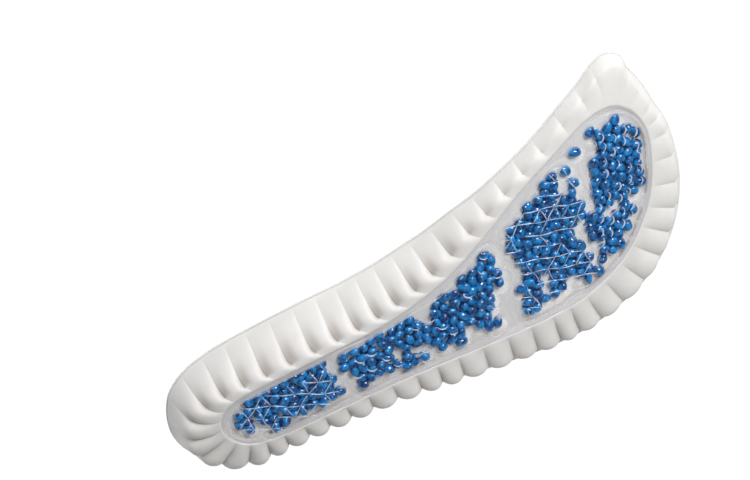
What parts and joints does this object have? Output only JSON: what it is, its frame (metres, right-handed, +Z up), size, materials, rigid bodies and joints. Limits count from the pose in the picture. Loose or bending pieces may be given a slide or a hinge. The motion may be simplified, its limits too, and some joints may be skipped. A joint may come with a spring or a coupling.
{
  "type": "shoe insole",
  "caption": "Left-foot shoe insole lying sole side up: ribbed white foam cup, clear sole window over pods of blue gel beads, thin white cloth cover on the foot side",
  "frame": {"origin": "middle of the box around the part, at its bottom, where heel rim and toe edge rest", "axes": "+X from heel to toe, +Y to the arch side of the foot, +Z up out of the sole side"},
  "size_m": [0.276, 0.1184, 0.0295],
  "materials": {
    "foam": "soft matte white moulded foam",
    "window": "clear flexible sheet",
    "beads": "glossy blue gel",
    "cover": "fine white cloth"
  },
  "bodies": {
    "root": {"foam_body": "foam", "clear_window": "window", "heel_beads": "beads", "arch_beads": "beads", "ball_beads": "beads", "toe_beads": "beads", "stray_bead": "beads", "top_cover": "cover"}
  },
  "joints": []
}
